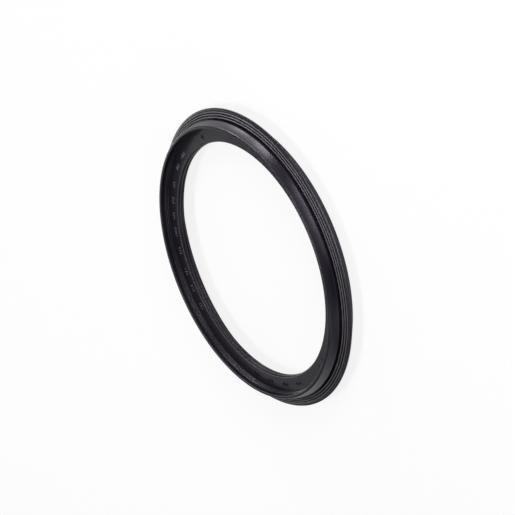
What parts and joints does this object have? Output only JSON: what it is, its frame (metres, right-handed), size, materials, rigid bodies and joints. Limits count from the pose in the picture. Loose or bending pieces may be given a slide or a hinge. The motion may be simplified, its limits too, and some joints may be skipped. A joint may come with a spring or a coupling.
{
  "type": "pipe seal ring",
  "caption": "Moulded rubber ring that seals a pipe in a round opening, with a flat gripping web, an upright front lip and a ribbed outer flange.",
  "frame": {"origin": "centre of the flat rear rim, on the surface that the ring lies on", "axes": "+Z along the ring's axis, from the rear rim towards the free edge of the front lip; X and Y are free"},
  "size_m": [0.2, 0.2, 0.018],
  "materials": {
    "black_rubber": "satin, as moulded"
  },
  "bodies": {
    "root": {"seal_ring": "black_rubber"}
  },
  "joints": []
}
